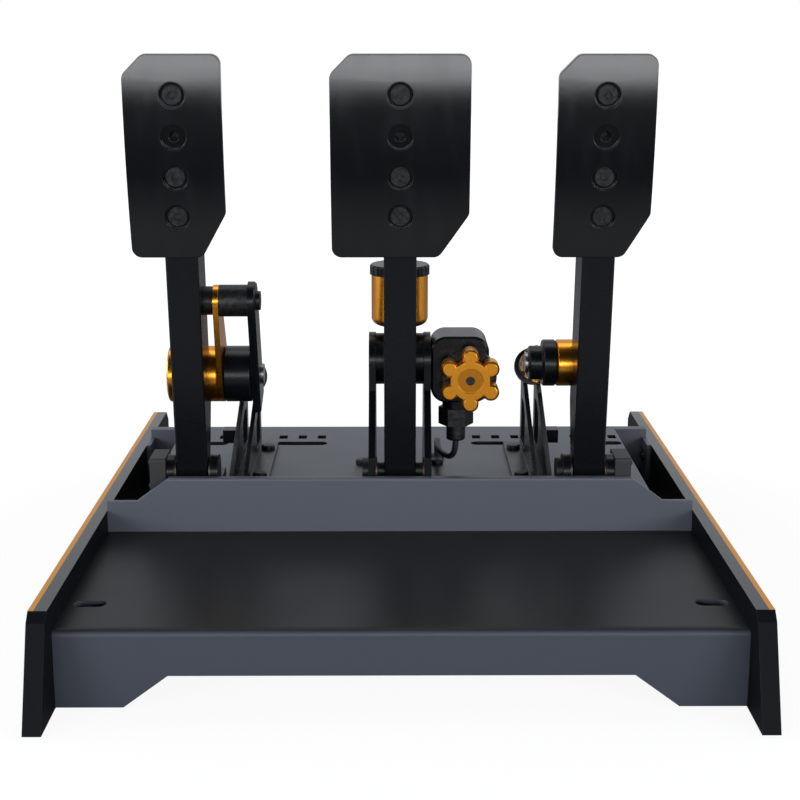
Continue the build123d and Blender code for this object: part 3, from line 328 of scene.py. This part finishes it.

# Heel tray. The same sheet and coat, with painted shade: its front lip a shade darker and
# its top nearly black. Shoes have left fine scuffs on the top; the edges have a painted
# highlight.
# Painted shade on the lip and near-black painted shade on the top faces; painted highlight on
# the edges. The scuffs are wear.
lip_painted_shade = (0.046, 0.052, 0.069)
tray_top_painted_shade = (0.0035, 0.0045, 0.0060)
scuff_shade = (0.018, 0.020, 0.023)
tray_coat = Finish("tray_coat", Specular_IOR_Level=0.28)
tray_edge_highlight = tray_coat.edge_mask(0.0008) * tray_coat.ramp(tray_coat.noise(50.0), 0.3, 0.75)
tray_top_mask = tray_coat.ramp(tray_coat.upward(), 0.55, 0.9)
scuffs = tray_coat.ramp(tray_coat.noise(26.0, 6.0, (1.0, 0.45, 1.0)), 0.52, 0.8)
top_colour = tray_coat.blend(scuffs * 0.25, tray_top_painted_shade, scuff_shade)
tray_colour = tray_coat.blend(tray_top_mask, lip_painted_shade, top_colour)
tray_coat.surface(
    Base_Color=tray_coat.blend(tray_edge_highlight * 0.5, tray_colour, slate_edge_highlight_shade),
    Roughness=0.36 + 0.06 * tray_coat.noise(30.0) + 0.06 * scuffs,
)
tray_coat.relief(tray_coat.noise(1400.0, 2.0), 0.00003, 0.0006)
wear_finish(tray_coat, "heel_tray")

# Feet. Moulded black rubber pads glued under both ends of each side plate. The grommet
# in the deck is of the same rubber.
rubber_shade = (0.018, 0.018, 0.018)
rubber = Finish("foot_rubber", Base_Color=rubber_shade, Roughness=0.85)
rubber.relief(rubber.noise(700.0, 4.0), 0.00008)
wear_finish(rubber, "rubber_feet", "lead_grommet")

# Screws, axles, the clutch's cross tube and the sensor gland. Steel with a black
# oxide finish that shows the metal where a key has turned in it.
oxide_shade = (0.012, 0.0125, 0.014)
oxide_worn_shade = (0.07, 0.07, 0.073)
oxide = Finish("black_oxide", Metallic=0.75)
oxide_patch = oxide.ramp(oxide.noise(400.0, 4.0), 0.35, 0.8)
oxide.surface(
    Base_Color=oxide.blend(oxide_patch * 0.6, oxide_shade, oxide_worn_shade),
    Roughness=0.34 + 0.16 * oxide.noise(250.0),
)
oxide.relief(oxide.noise(900.0), 0.00002, 0.0003)
oxide_pieces = ["frame_screws", "bracket_screws", "sensor_gland", "clutch_cross_tube"]
for side in ("clutch", "brake", "throttle"):
    oxide_pieces += [side + "_axle", side + "_plate_screws"]
wear_finish(oxide, *oxide_pieces)

# Control box and angle sensors. Moulded matt black plastic with a fine texture.
plastic_shade = (0.016, 0.016, 0.018)
plastic = Finish("moulded_plastic", Base_Color=plastic_shade)
plastic.surface(Roughness=0.52 + 0.12 * plastic.noise(300.0))
plastic.relief(plastic.noise(1800.0, 1.0), 0.00006)
wear_finish(plastic, "control_box", "clutch_angle_sensor", "throttle_angle_sensor")

# Pedal arms, brackets, cheeks, links and housings. Milled aluminium, bead blasted
# and anodised black, with a painted highlight along its edges.
anodised_shade = (0.0024, 0.0032, 0.0046)
anodised_edge_highlight_shade = (0.035, 0.039, 0.046)
black_anodised = Finish("black_anodised", Specular_IOR_Level=0.25)
# Painted highlight: lighter colour along the edges.
anodised_edge_highlight = black_anodised.edge_mask(0.0007)
black_anodised.surface(
    Base_Color=black_anodised.blend(anodised_edge_highlight * 0.6, anodised_shade, anodised_edge_highlight_shade),
    Roughness=0.24 + 0.08 * black_anodised.noise(120.0),
)
black_anodised.relief(black_anodised.noise(2200.0, 1.0), 0.00002, 0.0005)
black_pieces = ["clutch_outer_link", "brake_left_cheek", "brake_right_cheek"]
black_pieces += ["brake_cylinder", "brake_side_housing", "reservoir_cap", "brake_arm"]
for side in ("clutch", "throttle"):
    for piece in ("arm", "pivot_bracket", "strut_bracket", "strut_head", "strut_body"):
        black_pieces.append(side + "_" + piece)
wear_finish(black_anodised, *black_pieces)

# Pedal plates. Curved 4 mm aluminium with a smooth black coat; shoe soles leave
# faint upright rub marks on it, and its edges carry a painted highlight.
plate_shade = (0.0010, 0.0016, 0.0026)
plate_rub_and_highlight_shade = (0.009, 0.010, 0.013)
plate_coat = Finish("plate_coat", Specular_IOR_Level=0.42)
rub = plate_coat.ramp(plate_coat.noise(90.0, 5.0, (1.0, 1.0, 0.25)), 0.5, 0.8)
# Painted highlight: lighter colour along the edges, added to the real rub marks.
plate_edge_highlight = plate_coat.edge_mask(0.0009)
plate_coat.surface(
    Base_Color=plate_coat.blend(plate_edge_highlight * 0.5 + rub * 0.3, plate_shade, plate_rub_and_highlight_shade),
    Roughness=0.145 + 0.04 * rub,
)
plate_coat.relief(plate_coat.noise(1600.0, 2.0), 0.00001, 0.0008)
wear_finish(plate_coat, "clutch_plate", "brake_plate", "throttle_plate")

# Gold pieces. Turned or milled aluminium, anodised gold: barrels, link, collars and
# reservoir. Fine lathe lines show in the light.
gold = Finish("gold_anodised", Metallic=1.0)
lathe_lines = gold.noise(1200.0, 2.0)
gold.surface(
    Base_Color=gold.blend(lathe_lines * 0.6, gold_shade, gold_deep_shade),
    Roughness=0.22 + 0.08 * lathe_lines,
)
gold.relief(lathe_lines, 0.000003, 0.0005)
gold_pieces = ["clutch_barrel", "throttle_barrel", "clutch_inner_link", "clutch_collar"]
wear_finish(gold, "throttle_collar", "brake_reservoir", *gold_pieces)

# Star knob. The same gold aluminium, with painted shade in its dish and a dark, dull
# painted shade in the hole at its middle.
knob_axis = (0.0445, 0, 0.140)
# Painted shade: the dish darkens towards the middle, and the centre hole is dark and not metal.
knob_dish_painted_shade = (0.20, 0.07, 0.006)
knob_hole_painted_shade = (0.012, 0.008, 0.005)
hole_shade_rim_m = (0.0026, 0.0032)
dish_rim_m = (0.0070, 0.0086)
knob_gold = Finish("knob_gold", Metallic=1.0)
knob_lines = knob_gold.noise(420.0, 4.0)
knob_place = {0: knob_gold.place(), 1: knob_axis}
from_axis = knob_gold.add("ShaderNodeVectorMath", {"operation": "SUBTRACT"}, knob_place)
face_only = {0: from_axis, 1: (1, 0, 1)}
across = knob_gold.add("ShaderNodeVectorMath", {"operation": "MULTIPLY"}, face_only)
off_axis = knob_gold.add("ShaderNodeVectorMath", {"operation": "LENGTH"}, {0: across}, "Value")
hole_shade_mask = 1 - knob_gold.ramp(off_axis, *hole_shade_rim_m)
dish_shade_mask = 1 - knob_gold.ramp(off_axis, *dish_rim_m)
knob_colour = knob_gold.blend(knob_lines * 0.8, gold_shade, gold_deep_shade)
dish_colour = knob_gold.blend(dish_shade_mask * 0.45, knob_colour, knob_dish_painted_shade)
knob_gold.surface(
    Base_Color=knob_gold.blend(hole_shade_mask, dish_colour, knob_hole_painted_shade),
    Roughness=0.26 + 0.10 * knob_lines,
    Metallic=1 - hole_shade_mask,
)
knob_gold.relief(knob_lines, 0.00006, 0.0006)
wear_finish(knob_gold, "brake_knob")

# Pins and push rod. Ground steel, dulled by the oil that is on it. Only the pins' heads
# and the end of the rod show.
steel_shade = (0.28, 0.28, 0.29)
steel = Finish("ground_steel", Metallic=1.0, Base_Color=steel_shade)
steel.surface(Roughness=0.30 + 0.10 * steel.noise(800.0))
steel.relief(steel.noise(1500.0), 0.000004, 0.0003)
steel_pieces = ["clutch_pin", "throttle_pin", "clutch_strut_pin", "throttle_strut_pin"]
wear_finish(steel, "brake_plunger", *steel_pieces)

# Springs. Oil-hardened steel wire with a dark coat, wound round the body and the rod
# of each strut.
spring_shade = (0.05, 0.05, 0.055)
spring_wire = Finish("spring_wire", Metallic=0.6, Base_Color=spring_shade)
spring_wire.surface(Roughness=0.30 + 0.15 * spring_wire.noise(500.0))
wear_finish(spring_wire, "clutch_spring", "throttle_spring")

# Bushes. Sintered bronze, dark with oil. Their flanges show as thin rings beside each
# arm's foot.
bronze_shade = (0.13, 0.10, 0.07)
bronze = Finish("sintered_bronze", Metallic=1.0, Base_Color=bronze_shade)
bronze.surface(Roughness=0.38 + 0.2 * bronze.noise(900.0))
bronze.relief(bronze.noise(1500.0), 0.00004)
wear_finish(bronze, "pivot_bushes", "brake_bushes")

# Sensor lead. A short round rubber lead that hangs from the gland, turns back beside
# the brake's foot and goes down through a grommet in the deck.
lead_radius = 0.002
lead_shade = (0.012, 0.012, 0.013)
lead_route = [(0.037, 0.017, 0.0925), (0.037, 0.017, 0.079), (0.026, 0.033, 0.079)]
lead_route += [(0.026, 0.062, 0.084), (0.026, 0.062, 0.0685)]
lead_curve = bpy.data.curves.new("sensor_lead_run", "CURVE")
lead_curve.dimensions = "3D"
lead_curve.bevel_depth = lead_radius
lead_curve.bevel_resolution = 6
lead_curve.resolution_u = 24
lead_line = lead_curve.splines.new("NURBS")
lead_line.points.add(len(lead_route) - 1)
for point, place in zip(lead_line.points, lead_route):
    point.co = (*place, 1.0)
lead_line.order_u = 3
lead_line.use_endpoint_u = True
lead = bpy.data.objects.new("sensor_lead_run", lead_curve)
bpy.context.scene.collection.objects.link(lead)
lead_rubber = Finish("lead_rubber", Base_Color=lead_shade, Roughness=0.5)
lead_rubber.relief(lead_rubber.noise(900.0), 0.00003)
lead_curve.materials.append(lead_rubber.material)
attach(lead, "frame")
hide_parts("sensor_lead")
